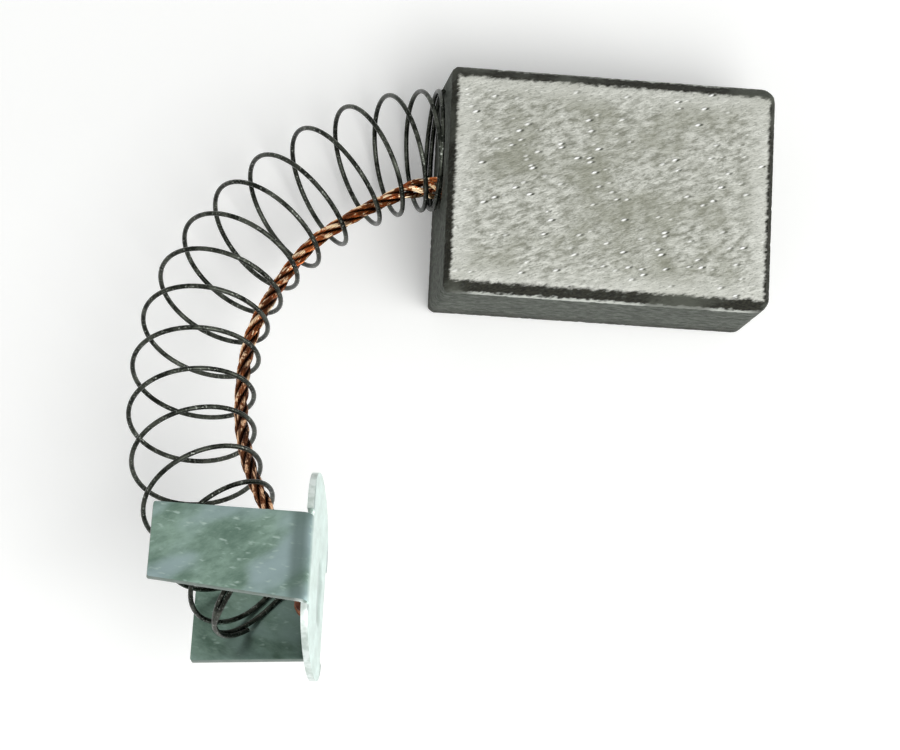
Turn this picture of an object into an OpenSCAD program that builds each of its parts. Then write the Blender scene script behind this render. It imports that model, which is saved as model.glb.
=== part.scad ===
// Carbon brush with a bent coil spring, a rope-laid copper shunt and a folded
// sheet terminal.
// Frame: origin at the centre of the block's contact face, +X out of that face,
// +Z up; the block lies on its back broad face and the free end rises to -Y.
// Units: millimetres.

/* [Carbon block] */
// Length of the block from contact face to spring end
block_len = 24; // [14:0.5:36]
// Width of the broad face
block_wid = 16.8; // [10:0.1:24]
// Thickness between the two broad faces
block_thk = 10; // [6:0.1:16]
// Chamfer along the two long edges of each broad face
chamfer_long = 0.7; // [0.2:0.05:1.5]
// Chamfer along the two end edges of each broad face
chamfer_end = 0.35; // [0.1:0.05:1]
// Rounding of the upright corners at the contact end
corner_contact = 1; // [0.3:0.1:2]
// Rounding of the upright corners at the spring end
corner_spring = 0.5; // [0.2:0.1:2]

/* [Tamped shunt hole] */
// Diameter of the blind hole in the spring end
hole_dia = 2.6; // [1.6:0.1:4]
// Depth of the blind hole
hole_depth = 7; // [3:0.5:12]
// How far the tamped filling stops below the mouth
fill_below = 0.5; // [0.1:0.1:1.5]

/* [Coil spring] */
// Outside diameter of the coil
coil_od = 9.1; // [6:0.1:14]
// Wire diameter
wire_dia = 0.35; // [0.2:0.05:0.8]
// Closed turns resting on the block
closed_block = 1.4; // [1:0.1:3]
// Closed turns inside the terminal
closed_clip = 1.1; // [1:0.1:3]
// Pitch of the closed turns
closed_pitch = 0.37; // [0.2:0.01:1]

/* [Shunt] */
// Diameter over the rope
rope_dia = 1; // [0.6:0.05:2]
// Strands laid together in the rope
rope_strands = 4; // [3:1:5]
// Length of one full lay
rope_lay = 6.6; // [4:0.2:12]
// Diameter over the strands where they fan out into the filling
rope_flare = 1.7; // [1:0.1:2.4]

/* [Terminal sheet] */
// Sheet thickness
sheet_thk = 0.45; // [0.3:0.05:1]
// Width of the plate between the outer faces of the legs
plate_wid = 10; // [7:0.1:16]
// Straight part of the plate above the middle of the legs
plate_up = 4.4; // [3:0.1:8]
// Straight part of the plate below the middle of the legs
plate_down = 3.4; // [3:0.1:8]
// Height of the rounded upper end of the plate
cap_up = 3.5; // [1:0.1:6]
// Height of the rounded lower end of the plate
cap_down = 2.7; // [1:0.1:6]
// Length of the near leg
leg_near_len = 10.6; // [6:0.1:16]
// Length of the far leg
leg_far_len = 9.1; // [6:0.1:16]
// Width of both legs at the plate
leg_root = 6.4; // [4:0.1:10]
// Width of the near leg at its tip
leg_tip = 5.5; // [4:0.1:10]
// Outward splay of the near leg
splay_near = 13; // [0:0.5:25]
// Outward splay of the far leg
splay_far = 5; // [0:0.5:25]
// Cut corners at the tips of the legs
tip_corner = 0.3; // [0.1:0.1:1]
// Inside radius of the bends
bend_in = 0.35; // [0.1:0.05:1]
// Depth of the electrode mark on the outer face
mark_depth = 0.12; // [0.02:0.02:0.3]

/* [Hidden] */
eps = 0.01;
wire_r = wire_dia / 2;
coil_r = (coil_od - wire_dia) / 2;
strand_r = rope_dia / 2 / (1 + 1 / sin(180 / rope_strands)) - eps;
orbit_r = rope_dia / 2 - strand_r;

// Centre line of the open coil: one point every two turns or so, from the seat on
// the block to the start of the closed turns in the terminal.
coil_seat = -block_len - wire_r - eps - closed_block * closed_pitch;
coil_line = [
  [coil_seat, 3.0, 0],
  [-29.5, 1.6, 0.5],
  [-34.8, -2.2, 1.4],
  [-38.7, -6.7, 2.9],
  [-41.0, -12.2, 5.0],
  [-41.7, -18.7, 7.8],
  [-40.7, -25.0, 11.3],
  [-37.7, -30.4, 14.6],
  [-36.8, -31.2, 15.1]
];
coil_turn = [-1.6, 1, 3, 5, 7, 9, 11, 13, 14.2];
coil_lead = [-0.4, 0, 0];
coil_phase = 79;
coil_steps = 20;
coil_sides = 8;

// Pose of the terminal: its own +X is the plate's outward normal, +Y runs up
// the plate and +Z points to the near leg.
clip_pos = [-32.9, -31.5, 16.4];
clip_turn = [-20, -11, 1.5];
bend_out = sheet_thk + bend_in;
half = plate_wid / 2;

// Copper weld on the plate's inner face, in the terminal's own frame.
weld_size = [1.15, 2.8, 2.0];
weld_mid = [-sheet_thk - weld_size[0] / 2, -0.4, -0.6];

// Route of the rope from inside the tamped hole to the weld: the first points
// are in the part's frame, the last ones in the terminal's own frame.
rope_free = [
  [-19.5, 0, 0],
  [-22.5, 0, 0],
  [-25.5, 0.1, -0.1],
  [-28.4, -1.3, 0.2],
  [-31.0, -3.0, 0.8],
  [-33.6, -5.3, 1.6],
  [-35.9, -8.8, 3.0],
  [-37.6, -12.7, 5.0],
  [-38.2, -17.0, 7.3],
  [-38.1, -20.4, 9.4],
  [-37.4, -23.6, 11.9]
];
rope_clip = [
  [-3.6, 5.6, -0.4],
  [-2.6, 3.6, -0.7],
  [-1.6, 2.1, -0.7],
  [-1.05, 0.9, -0.6],
  [-1.0, 0.0, -0.6]
];
rope_lead = [-1, 0, 0];
rope_steps = 12;
rope_sides = 6;

function unit(v) = v / norm(v);
function slope(p, k, i, lead) =
  i == 0 ? lead :
  i == len(p) - 1 ? (p[i] - p[i - 1]) / (k[i] - k[i - 1]) :
  (p[i + 1] - p[i - 1]) / (k[i + 1] - k[i - 1]);
function cell(k, u, i = 0) = (i >= len(k) - 2 || u < k[i + 1]) ? i : cell(k, u, i + 1);
// Point at parameter u on the smooth curve through points p at knots k.
function curve(p, k, u, lead) =
  let (i = cell(k, u), h = k[i + 1] - k[i], t = (u - k[i]) / h)
  (2 * t ^ 3 - 3 * t ^ 2 + 1) * p[i] + (t ^ 3 - 2 * t ^ 2 + t) * h * slope(p, k, i, lead)
  + (3 * t ^ 2 - 2 * t ^ 3) * p[i + 1] + (t ^ 3 - t ^ 2) * h * slope(p, k, i + 1, lead);

// Unit tangents of a list of points.
function tangents(p) = [for (i = [0 : len(p) - 1])
  unit(p[min(i + 1, len(p) - 1)] - p[max(i - 1, 0)])];
// Normals carried along the tangents without twisting.
function carried(t, n0) = [for (i = 0, n = unit(n0 - (n0 * t[0]) * t[0]); i < len(t);
  n = i + 1 < len(t) ? unit(n - (n * t[i + 1]) * t[i + 1]) : n, i = i + 1) n];
// Running length along a list of points.
function running(p) = [for (i = 0, s = 0; i < len(p);
  s = i + 1 < len(p) ? s + norm(p[i + 1] - p[i]) : s, i = i + 1) s];

function turn_x(a, p) = [p[0], cos(a) * p[1] - sin(a) * p[2], sin(a) * p[1] + cos(a) * p[2]];
function turn_y(a, p) = [cos(a) * p[0] + sin(a) * p[2], p[1], cos(a) * p[2] - sin(a) * p[0]];
function turn_z(a, p) = [cos(a) * p[0] - sin(a) * p[1], sin(a) * p[0] + cos(a) * p[1], p[2]];
// A point of the terminal's own frame, in the part's frame.
function from_clip(p) =
  clip_pos + turn_z(clip_turn[2], turn_y(clip_turn[1], turn_x(clip_turn[0], p)));

// Coil centre line with its closed turns, then the wire wound around it.
coil_last = len(coil_turn) - 1;
coil_end_lead = slope(coil_line, coil_turn, coil_last, coil_lead);
function coil_mid(u) =
  u < coil_turn[0] ? coil_line[0] + (u - coil_turn[0]) * closed_pitch * unit(coil_lead) :
  u > coil_turn[coil_last] ?
    coil_line[coil_last] + (u - coil_turn[coil_last]) * closed_pitch * unit(coil_end_lead) :
  curve(coil_line, coil_turn, u, coil_lead);
coil_from = coil_turn[0] - closed_block;
coil_to = coil_turn[coil_last] + closed_clip;
coil_count = ceil((coil_to - coil_from) * coil_steps);
coil_u = [for (i = [0 : coil_count]) coil_from + (coil_to - coil_from) * i / coil_count];
coil_mids = [for (u = coil_u) coil_mid(u)];
coil_t = tangents(coil_mids);
coil_n = carried(coil_t, [0, 0, 1]);
coil_wire = [for (i = [0 : coil_count])
  let (a = coil_phase + 360 * coil_u[i], b = cross(coil_t[i], coil_n[i]))
  coil_mids[i] + coil_r * (cos(a) * coil_n[i] + sin(a) * b)];

// Rope centre line, and one strand laid around it.
rope_line = concat(rope_free, [for (p = rope_clip) from_clip(p)]);
rope_knots = running(rope_line);
rope_len = rope_knots[len(rope_knots) - 1];
rope_count = ceil(rope_len / rope_lay * rope_steps);
rope_s = [for (i = [0 : rope_count]) rope_len * i / rope_count];
rope_mids = [for (s = rope_s) curve(rope_line, rope_knots, s, rope_lead)];
rope_t = tangents(rope_mids);
rope_n = carried(rope_t, [0, 0, 1]);
function ease(x) = let (t = max(0, min(1, x))) t * t * (3 - 2 * t);
function orbit(s) = orbit_r + (rope_flare - rope_dia) / 2 * (1 - ease((s - 4.5) / 4));
function strand_path(k) = [for (i = [0 : rope_count])
  let (a = 360 * (rope_s[i] / rope_lay + k / rope_strands), b = cross(rope_t[i], rope_n[i]))
  rope_mids[i] + orbit(rope_s[i]) * (cos(a) * rope_n[i] + sin(a) * b)];

// Round bar of the given radius along a list of points.
module bar(path, radius, sides) {
  t = tangents(path);
  n = carried(t, cross(t[0], [0.3, 0.5, 0.8]));
  rings = [for (i = [0 : len(path) - 1]) let (b = cross(t[i], n[i]))
    for (j = [0 : sides - 1]) let (a = 360 * j / sides)
      path[i] + radius * (cos(a) * n[i] + sin(a) * b)];
  walls = [for (i = [0 : len(path) - 2], j = [0 : sides - 1])
    let (k = (j + 1) % sides, a = i * sides + j, b = i * sides + k,
         c = (i + 1) * sides + k, d = (i + 1) * sides + j)
    each [[a, d, c], [a, c, b]]];
  last = (len(path) - 1) * sides;
  polyhedron(rings, concat(walls, [[for (j = [0 : sides - 1]) j]],
    [[for (j = [sides - 1 : -1 : 0]) last + j]]), convexity = 12);
}

// Chamfer cutter: a square bar on edge, along X, centred on the edge.
module edge_cut(len, c) {
  rotate([45, 0, 0]) cube([len, c * sqrt(2), c * sqrt(2)], center = true);
}

module block_plan() {
  for (s = [-1, 1]) {
    translate([-corner_contact, s * (block_wid / 2 - corner_contact)])
      circle(corner_contact, $fn = 48);
    translate([corner_spring - block_len, s * (block_wid / 2 - corner_spring)])
      circle(corner_spring, $fn = 48);
  }
  translate([-block_len, corner_spring - block_wid / 2])
    square([block_len / 2, block_wid - 2 * corner_spring]);
  translate([-block_len / 2, corner_contact - block_wid / 2])
    square([block_len / 2, block_wid - 2 * corner_contact]);
  translate([corner_spring - block_len, -block_wid / 2])
    square([block_len - corner_spring - corner_contact, block_wid]);
}

module carbon_block() {
  color("#6b6b66") difference() {
    translate([0, 0, -block_thk / 2]) linear_extrude(block_thk) block_plan();
    for (z = [-1, 1]) {
      for (y = [-1, 1])
        translate([-block_len / 2, y * block_wid / 2, z * block_thk / 2])
          edge_cut(block_len + 2, chamfer_long);
      for (x = [0, -block_len])
        translate([x, 0, z * block_thk / 2]) rotate([0, 0, 90])
          edge_cut(block_wid + 2, chamfer_end);
    }
    translate([-block_len - 1, 0, 0]) rotate([0, 90, 0])
      cylinder(h = hole_depth + 1, d = hole_dia, $fn = 48);
  }
}

module tamped_filling() {
  color("#7a4a32") difference() {
    translate([-block_len + fill_below, 0, 0]) rotate([0, 90, 0])
      cylinder(h = hole_depth - fill_below, d = hole_dia, $fn = 48);
    for (k = [0 : rope_strands - 1]) bar(strand_path(k), strand_r, rope_sides);
  }
}

module weld_shape() {
  translate(clip_pos) rotate(clip_turn) translate(weld_mid) difference() {
    cube(weld_size, center = true);
    for (z = [-1, 1]) translate([-weld_size[0] / 2, 0, z * weld_size[2] / 2])
      rotate([0, 45, 0]) cube([0.7, weld_size[1] + 1, 0.7], center = true);
    translate([-weld_size[0] / 2, -weld_size[1] / 2, 0])
      rotate([0, 0, 45]) cube([0.9, 0.9, weld_size[2] + 1], center = true);
  }
}

module shunt_strand(k) {
  color("#b8683c") difference() {
    bar(strand_path(k), strand_r, rope_sides);
    weld_shape();
  }
}
module shunt_strand_1() { shunt_strand(0); }
module shunt_strand_2() { shunt_strand(1); }
module shunt_strand_3() { shunt_strand(2); }
module shunt_strand_4() { shunt_strand(3); }

module shunt_weld() {
  color("#9c5a3a") weld_shape();
}

module coil_spring() {
  color("#4a4d4a") bar(coil_wire, wire_r, coil_sides);
}

// Side profile of one leg with its bend, in the terminal's X-Z plane.
module leg_profile(len, splay) {
  turn = 90 - splay;
  reach = (len - bend_out) / cos(splay);
  translate([-bend_out, half - bend_out]) {
    intersection() {
      difference() {
        circle(bend_out, $fn = 48);
        circle(bend_in, $fn = 48);
      }
      polygon([[0, 0], [2, 0], [2, 2], [2 * cos(turn), 2 * sin(turn)]]);
    }
    rotate(turn) translate([bend_in, 0]) square([sheet_thk, reach]);
  }
}

// Plan of one leg: tapered, with small cut corners at the tip.
module leg_plan(len, tip, cut) {
  end = 0.2 - len;
  polygon([[1, leg_root / 2], [1, -leg_root / 2], [-1.5, -leg_root / 2],
    [end + cut, -tip / 2], [end, cut - tip / 2], [end, tip / 2 - cut],
    [end + cut, tip / 2], [-1.5, leg_root / 2]]);
}

module leg(len, splay, tip) {
  intersection() {
    rotate([90, 0, 0]) linear_extrude(leg_root + 1, center = true) leg_profile(len, splay);
    linear_extrude(3 * plate_wid, center = true) leg_plan(len, tip, tip_corner);
  }
}

module plate_plan() {
  translate([-plate_down, -half]) square([plate_up + plate_down, plate_wid]);
  translate([plate_up, 0]) scale([cap_up / half, 1]) circle(half, $fn = 72);
  translate([-plate_down, 0]) scale([cap_down / half, 1]) circle(half, $fn = 72);
}

module terminal_sheet() {
  relief = 0.3;
  color("#b9cdc4") translate(clip_pos) rotate(clip_turn) {
    difference() {
      translate([-sheet_thk, 0, 0]) rotate([90, 0, 90])
        linear_extrude(sheet_thk) plate_plan();
      for (z = [-1, 1]) translate([0, 0, z * (half - bend_out + 2)])
        cube([3 * sheet_thk, leg_root + 2 * relief, 4], center = true);
      translate([-mark_depth, 0.2, -1.2]) rotate([0, 90, 0]) linear_extrude(1) {
        square([2.2, 2.4], center = true);
        for (y = [-1.2, 1.2]) translate([0, y]) circle(1.1, $fn = 36);
      }
    }
    leg(leg_near_len, splay_near, leg_tip);
    mirror([0, 0, 1]) leg(leg_far_len, splay_far, leg_root - 0.2);
  }
}

carbon_block();
tamped_filling();
shunt_strand_1();
shunt_strand_2();
shunt_strand_3();
shunt_strand_4();
shunt_weld();
coil_spring();
terminal_sheet();
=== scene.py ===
"""Looks of a carbon brush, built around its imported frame.

A ground electrographite block carries a bent spring-steel coil and a rope-laid
copper shunt. The shunt ends in a weld on a folded, zinc-plated terminal.
The classes hold their sizes in millimetres; meshes are in metres.
"""

import logging
import math
from dataclasses import dataclass, field
from enum import Enum
from functools import partial

import bmesh
import bpy
import numpy as np
from mathutils import Euler, Matrix, Vector, noise


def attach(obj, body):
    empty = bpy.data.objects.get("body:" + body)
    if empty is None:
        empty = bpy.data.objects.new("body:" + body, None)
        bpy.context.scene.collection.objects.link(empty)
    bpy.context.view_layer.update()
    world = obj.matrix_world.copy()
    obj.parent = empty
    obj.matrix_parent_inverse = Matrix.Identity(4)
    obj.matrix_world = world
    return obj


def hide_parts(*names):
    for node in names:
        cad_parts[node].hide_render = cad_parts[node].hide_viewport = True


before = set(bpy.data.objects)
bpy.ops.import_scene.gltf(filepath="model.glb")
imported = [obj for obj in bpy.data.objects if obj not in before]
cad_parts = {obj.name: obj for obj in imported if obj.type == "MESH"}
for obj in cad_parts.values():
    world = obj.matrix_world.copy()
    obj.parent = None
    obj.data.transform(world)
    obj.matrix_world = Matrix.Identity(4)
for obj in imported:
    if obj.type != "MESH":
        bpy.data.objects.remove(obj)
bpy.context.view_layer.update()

logging.basicConfig(level=logging.INFO, format="%(name)s: %(message)s")
LOG = logging.getLogger("carbon_brush")

MM = 0.001
BODY = "root"

MATH = "ShaderNodeMath"
VECTOR = "ShaderNodeVectorMath"
RANGE = "ShaderNodeMapRange"
MIX = "ShaderNodeMix"
NOISE = "ShaderNodeTexNoise"
CELLS = "ShaderNodeTexVoronoi"
AXES = "ShaderNodeSeparateXYZ"
BUMP = "ShaderNodeBump"
SURFACE = "ShaderNodeBsdfPrincipled"
STEEP = "SMOOTHSTEP"
TINY = 1e-6

# What a node's input can be linked to.
Source = bpy.types.Node | bpy.types.NodeSocket


# ---------------------------------------------------------------- small tools


def linear(code: str) -> tuple[float, float, float, float]:
    """Turns an sRGB hex colour into linear RGBA.

    Args:
        code: Colour such as "#c0c0c0".

    Returns:
        The colour as four linear numbers.
    """
    levels = [int(code[i : i + 2], 16) / 255 for i in (1, 3, 5)]
    flat = [c / 12.92 if c <= 0.04045 else ((c + 0.055) / 1.055) ** 2.4 for c in levels]
    return (flat[0], flat[1], flat[2], 1.0)


def add(
    tree: bpy.types.NodeTree,
    kind: str,
    inputs: dict | None = None,
    **settings: object,
) -> bpy.types.Node:
    """Adds a node, sets it and links it.

    Args:
        tree: Node tree to add to.
        kind: Type name of the node.
        inputs: Socket name or number, to a value, a hex colour, an output, or a
            node whose first output in use is linked.
        settings: Properties of the node itself.

    Returns:
        The new node.
    """
    node = tree.nodes.new(kind)
    for name, value in settings.items():
        setattr(node, name, value)
    for key, value in (inputs or {}).items():
        named = [s for s in node.inputs if s.name == key and s.enabled]
        socket = named[0] if named else node.inputs[key]
        if isinstance(value, bpy.types.Node):
            value = next(s for s in value.outputs if s.enabled)
        if isinstance(value, bpy.types.NodeSocket):
            tree.links.new(value, socket)
        elif isinstance(value, str) and value.startswith("#"):
            socket.default_value = linear(value)
        else:
            socket.default_value = value
    return node


def unit(rows: np.ndarray) -> np.ndarray:
    """Scales each row of an array to length one."""
    return rows / np.linalg.norm(rows, axis=-1, keepdims=True)


def ease(x: np.ndarray) -> np.ndarray:
    """Smooth step from 0 to 1 as x goes from 0 to 1."""
    t = np.clip(x, 0, 1)
    return t * t * (3 - 2 * t)


def mesh_object(name: str, points: np.ndarray, faces: list) -> bpy.types.Object:
    """Makes a mesh object at the origin from points in millimetres.

    Args:
        name: Name of the piece.
        points: Vertices, one row each.
        faces: Lists of vertex numbers.

    Returns:
        The object, linked to the scene.
    """
    data = bpy.data.meshes.new(name)
    data.from_pydata((np.asarray(points) * MM).tolist(), [], faces)
    data.update()
    obj = bpy.data.objects.new(name, data)
    bpy.context.scene.collection.objects.link(obj)
    return obj


def quads(
    rows: int, count: int, first: int = 0, closed: bool = True
) -> list[list[int]]:
    """Faces between rows of vertices that are numbered row after row.

    Args:
        rows: Number of rows.
        count: Vertices in a row.
        first: Number of the first vertex.
        closed: Whether each row is a ring.

    Returns:
        Lists of four vertex numbers.
    """
    steps = [(j, (j + 1) % count) for j in range(count if closed else count - 1)]
    starts = [first + a * count for a in range(rows - 1)]
    return [
        [row + j, row + k, row + count + k, row + count + j]
        for row in starts
        for j, k in steps
    ]


def turned_out(obj: bpy.types.Object) -> bpy.types.Object:
    """Points every face of a closed mesh outwards.

    Args:
        obj: Object with a closed mesh.

    Returns:
        The same object.
    """
    shape = bmesh.new()
    shape.from_mesh(obj.data)
    bmesh.ops.recalc_face_normals(shape, faces=shape.faces)
    shape.to_mesh(obj.data)
    shape.free()
    return obj


def made_plain(obj: bpy.types.Object) -> bpy.types.Object:
    """Turns an object and its modifiers into a plain mesh.

    Args:
        obj: Object with live modifiers.

    Returns:
        The same object, without modifiers.
    """
    graph = bpy.context.evaluated_depsgraph_get()
    graph.update()
    data = bpy.data.meshes.new_from_object(obj.evaluated_get(graph), depsgraph=graph)
    old = obj.data
    obj.modifiers.clear()
    obj.data = data
    bpy.data.meshes.remove(old)
    data.name = obj.name
    return obj


def smoothed(obj: bpy.types.Object, angle: float = 35.0) -> bpy.types.Object:
    """Shades a mesh smooth, with edges over the angle kept sharp.

    Args:
        obj: Plain mesh object.
        angle: Largest smooth angle in degrees.

    Returns:
        The same object.
    """
    obj.data.shade_smooth()
    obj.data.set_sharp_from_angle(angle=math.radians(angle))
    return obj


def hand_over(
    obj: bpy.types.Object, finish: "Finish", nodes: tuple[str, ...]
) -> bpy.types.Object:
    """Gives a finished piece to the frame.

    Args:
        obj: Plain mesh object at the origin.
        finish: Finish that the piece wears.
        nodes: Names of the solids that it stands for.

    Returns:
        The same object.
    """
    if not obj.data.materials:
        obj.data.materials.append(finish.material())
    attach(obj, BODY)
    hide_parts(*nodes)
    LOG.info("%s: %d faces, stands for %s", obj.name, len(obj.data.polygons), nodes)
    return obj


# ------------------------------------------------------------- lines to follow


@dataclass
class Spine:
    """Smooth curve through a few points, the one that the solids follow.

    Attributes:
        points: Points in millimetres.
        knots: Parameter of each point.
        lead: Slope at the first point.
    """

    points: np.ndarray
    knots: np.ndarray
    lead: np.ndarray

    def slope(self, i: int) -> np.ndarray:
        """Slope of the curve at one of its points.

        Args:
            i: Number of the point.

        Returns:
            The slope, in millimetres for each unit of the parameter.
        """
        p, k = self.points, self.knots
        if i == 0:
            return self.lead
        j = min(i + 1, len(p) - 1)
        return (p[j] - p[i - 1]) / (k[j] - k[i - 1])

    def at(self, u: float) -> np.ndarray:
        """Point of the curve.

        Args:
            u: Parameter, on the scale of the knots.

        Returns:
            The point in millimetres.
        """
        found = np.searchsorted(self.knots, u, "right") - 1
        i = int(np.clip(found, 0, len(self.knots) - 2))
        h = self.knots[i + 1] - self.knots[i]
        t = (u - self.knots[i]) / h
        return (
            (2 * t**3 - 3 * t**2 + 1) * self.points[i]
            + (t**3 - 2 * t**2 + t) * h * self.slope(i)
            + (3 * t**2 - 2 * t**3) * self.points[i + 1]
            + (t**3 - t**2) * h * self.slope(i + 1)
        )


@dataclass
class Line:
    """Points on a line, with a tangent and two normals carried along it."""

    points: np.ndarray
    first_normal: tuple[float, float, float] = (0, 0, 1)
    tangents: np.ndarray = field(init=False)
    sides: np.ndarray = field(init=False)
    overs: np.ndarray = field(init=False)

    def __post_init__(self) -> None:
        """Works out the tangents and carries the first normal along them."""
        p = self.points
        ahead, behind = np.vstack([p[1:], p[-1:]]), np.vstack([p[:1], p[:-1]])
        self.tangents = unit(ahead - behind)
        side, rows = np.array(self.first_normal, float), []
        for t in self.tangents:
            side = unit(side - (side @ t) * t)
            rows.append(side)
        self.sides = np.array(rows)
        self.overs = np.cross(self.tangents, self.sides)

    def around(self, turns: np.ndarray, radius: np.ndarray | float) -> np.ndarray:
        """Points beside the line.

        Args:
            turns: Angle round the line at each point, in whole turns.
            radius: Distance from the line.

        Returns:
            One point for each point of the line.
        """
        a = (2 * math.pi * turns)[:, None]
        r = np.broadcast_to(radius, (len(self.points),))[:, None]
        return self.points + r * (np.cos(a) * self.sides + np.sin(a) * self.overs)

    def run(self) -> np.ndarray:
        """Running length at each point."""
        steps = np.linalg.norm(np.diff(self.points, axis=0), axis=1)
        return np.concatenate([[0], np.cumsum(steps)])


@dataclass
class WoundWires:
    """Geometry Nodes tree that winds round wires about a line.

    The line is a chain of edges whose points carry `side` and `over`, two unit
    normals, `turn`, the angle there in whole turns, `orbit`, the distance from
    the line, and `core`, the middle of the whole rope. The wires carry on
    `from_core`, how far in millimetres they lie from that middle, and `tone`, a
    number from 0 to 1 that tells them apart.
    """

    tree: bpy.types.NodeTree = field(init=False)
    sockets: dict[str, str] = field(init=False)

    def __post_init__(self) -> None:
        """Builds the tree once, with its named inputs."""
        self.tree = bpy.data.node_groups.new("wound_wires", "GeometryNodeTree")
        kinds = {
            "Line": "Geometry",
            "Wires": "Int",
            "Wire radius": "Float",
            "Sides": "Int",
            "Ripple": "Float",
            "Ripple scale": "Float",
            "Seed": "Int",
            "Finish": "Material",
        }
        self.sockets = {}
        for name, kind in kinds.items():
            socket = self.tree.interface.new_socket(
                name, in_out="INPUT", socket_type=f"NodeSocket{kind}"
            )
            self.sockets[name] = socket.identifier
        self.tree.interface.new_socket(
            "Wires", in_out="OUTPUT", socket_type="NodeSocketGeometry"
        )
        self._fill()

    def _fill(self) -> None:
        """Fills the empty tree: copies of the line, set beside it and swept."""
        put = partial(add, self.tree)
        given = put("NodeGroupInput").outputs
        carried = {
            name: put("GeometryNodeInputNamedAttribute", {"Name": name}, data_type=kind)
            for name, kind in (
                ("side", "FLOAT_VECTOR"),
                ("over", "FLOAT_VECTOR"),
                ("core", "FLOAT_VECTOR"),
                ("turn", "FLOAT"),
                ("orbit", "FLOAT"),
                ("wire", "INT"),
            )
        }
        place = put("GeometryNodeInputPosition")

        curve = put("GeometryNodeMeshToCurve", {"Mesh": given["Line"]})
        copies = put(
            "GeometryNodeDuplicateElements",
            {"Geometry": curve, "Amount": given["Wires"]},
            domain="SPLINE",
        )
        numbered = put(
            "GeometryNodeStoreNamedAttribute",
            {
                "Geometry": copies,
                "Name": "wire",
                "Value": copies.outputs["Duplicate Index"],
            },
            data_type="INT",
            domain="CURVE",
        )

        # Each wire takes its share of the circle, and ripples by its own noise.
        share = put(MATH, {0: carried["wire"], 1: given["Wires"]}, operation="DIVIDE")
        whole = put(MATH, {0: share, 1: carried["turn"]}, operation="ADD")
        angle = put(MATH, {0: whole, 1: 2 * math.pi}, operation="MULTIPLY")
        shift = put(
            "ShaderNodeCombineXYZ",
            {
                "X": put(MATH, {0: share, 1: 37.0}, operation="MULTIPLY"),
                "Y": put(MATH, {0: given["Seed"], 1: 5.1}, operation="MULTIPLY"),
            },
        )
        where = put(VECTOR, {0: place, "Scale": given["Ripple scale"]}, operation="SCALE")
        seeded = put(VECTOR, {0: where, 1: shift}, operation="ADD")
        rough = put(NOISE, {"Vector": seeded, "Scale": 1.0, "Detail": 1.0})
        centred = put(MATH, {0: rough, 1: 0.5}, operation="SUBTRACT")
        twice = put(MATH, {0: given["Ripple"], 1: 2.0}, operation="MULTIPLY")
        proud = put(MATH, {0: centred, 1: twice}, operation="MULTIPLY")
        reach = put(MATH, {0: carried["orbit"], 1: proud}, operation="ADD")
        parts = []
        for name, wave in (("side", "COSINE"), ("over", "SINE")):
            turned = put(MATH, {0: angle}, operation=wave)
            length = put(MATH, {0: turned, 1: reach}, operation="MULTIPLY")
            way = {0: carried[name], "Scale": length}
            parts.append(put(VECTOR, way, operation="SCALE"))
        offset = put(VECTOR, {0: parts[0], 1: parts[1]}, operation="ADD")
        wound = put("GeometryNodeSetPosition", {"Geometry": numbered, "Offset": offset})
        ring = put(
            "GeometryNodeCurvePrimitiveCircle",
            {"Resolution": given["Sides"], "Radius": given["Wire radius"]},
        )
        bars = put(
            "GeometryNodeCurveToMesh",
            {"Curve": wound, "Profile Curve": ring, "Fill Caps": True},
        )

        gap = put(VECTOR, {0: place, 1: carried["core"]}, operation="DISTANCE")
        marked = put(
            "GeometryNodeStoreNamedAttribute",
            {
                "Geometry": bars,
                "Name": "from_core",
                "Value": put(MATH, {0: gap, 1: 1 / MM}, operation="MULTIPLY"),
            },
            data_type="FLOAT",
            domain="POINT",
        )
        tone = put(
            "FunctionNodeRandomValue",
            {"ID": carried["wire"], "Seed": given["Seed"]},
            data_type="FLOAT",
        )
        toned = put(
            "GeometryNodeStoreNamedAttribute",
            {"Geometry": marked, "Name": "tone", "Value": tone},
            data_type="FLOAT",
            domain="POINT",
        )
        real = put("GeometryNodeRealizeInstances", {"Geometry": toned})
        dressed = put(
            "GeometryNodeSetMaterial", {"Geometry": real, "Material": given["Finish"]}
        )
        put("NodeGroupOutput", {"Wires": dressed})

    def wind(
        self,
        name: str,
        line: Line,
        turns: np.ndarray,
        orbit: np.ndarray | float,
        core: np.ndarray,
        finish: "Finish",
        **sizes: float,
    ) -> bpy.types.Object:
        """Winds wires about a line and makes them a plain mesh.

        Args:
            name: Name of the piece.
            line: The line to wind about.
            turns: Angle at each point, in whole turns.
            orbit: Distance of the wires' middles from the line, in millimetres.
            core: Middle of the whole rope at each point.
            finish: Finish of the wires.
            sizes: Values for the tree's other inputs, with _ for a space.

        Returns:
            The plain mesh object.
        """
        count = len(line.points)
        data = bpy.data.meshes.new(name)
        edges = [(i, i + 1) for i in range(count - 1)]
        data.from_pydata((line.points * MM).tolist(), edges, [])
        carried = {
            "side": line.sides,
            "over": line.overs,
            "core": core * MM,
            "turn": turns,
            "orbit": np.broadcast_to(orbit, (count,)) * MM,
        }
        for label, values in carried.items():
            plain = values.ndim == 1
            kind, slot = ("FLOAT", "value") if plain else ("FLOAT_VECTOR", "vector")
            kept = data.attributes.new(label, kind, "POINT")
            kept.data.foreach_set(slot, np.asarray(values, dtype=np.float32).ravel())
        obj = bpy.data.objects.new(name, data)
        bpy.context.scene.collection.objects.link(obj)
        modifier = obj.modifiers.new("wires", "NODES")
        modifier.node_group = self.tree
        modifier[self.sockets["Finish"]] = finish.material()
        for label, value in sizes.items():
            modifier[self.sockets[label.replace("_", " ").capitalize()]] = value
        made_plain(obj)
        for label in (*carried, "wire"):
            spare = obj.data.attributes.get(label)
            if spare is not None:
                obj.data.attributes.remove(spare)
        return smoothed(obj, 50)


# -------------------------------------------------------------------- finishes


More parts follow.
